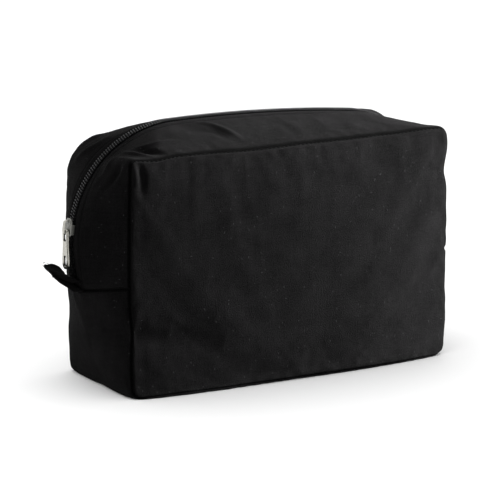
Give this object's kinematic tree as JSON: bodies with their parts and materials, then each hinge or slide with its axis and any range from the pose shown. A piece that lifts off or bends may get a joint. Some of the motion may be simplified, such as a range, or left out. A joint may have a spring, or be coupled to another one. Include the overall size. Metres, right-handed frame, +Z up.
{
  "type": "shaving kit bag",
  "caption": "Soft black canvas toiletry bag: two domed panels, a deep gusset, and a coil zip that curves over the top and down both ends, with a metal puller and a cloth tab.",
  "frame": {"origin": "middle of the flat bottom, on the surface the bag stands on", "axes": "+X along the panels' width, +Y from the front panel to the back panel, +Z up; the tab and the closed zip's slider are at -X"},
  "size_m": [0.3001, 0.109, 0.1728],
  "materials": {
    "canvas": "black cotton canvas, fine plain weave, matt, a little lint",
    "binding": "black woven cotton binding tape",
    "zip_tape": "black herringbone woven polyester tape",
    "zip_coil": "black nylon monofilament coil with a soft shine",
    "nickel": "satin nickel plating over die-cast zinc",
    "spring_steel": "plain spring steel strip"
  },
  "bodies": {
    "bag": {"front_panel": "canvas", "back_panel": "canvas", "zip_strip_front": "canvas", "zip_strip_back": "canvas", "lower_gusset": "canvas", "seam_binding_front": "binding", "seam_binding_back": "binding", "end_binding_left": "binding", "end_binding_right": "binding", "zip_tape_front": "zip_tape", "zip_tape_back": "zip_tape", "zip_coil_front": "zip_coil", "zip_coil_back": "zip_coil", "pull_tab_root": "canvas"},
    "slider": {"slider_body": "nickel", "slider_crown": "nickel", "slider_lock_spring": "spring_steel"},
    "puller": {"puller": "nickel"},
    "pull_tab": {"pull_tab": "canvas"}
  },
  "joints": [
    {"name": "slider_travel", "type": "hinge", "parent": "bag", "child": "slider", "pos_m": [-0.066, 0, 0.096], "axis": [0, 1, 0], "range_deg": [-2, 76]},
    {"name": "puller_swing", "type": "hinge", "parent": "slider", "child": "puller", "pos_m": [-0.14431, 0, 0.1059], "axis": [0, 1, 0], "range_deg": [-3, 170]},
    {"name": "tab_fold", "type": "hinge", "parent": "bag", "child": "pull_tab", "pos_m": [-0.1374, 0, 0.0656], "axis": [0, 1, 0], "range_deg": [-60, 8], "stiffness_Nm_per_rad": 0.02}
  ]
}
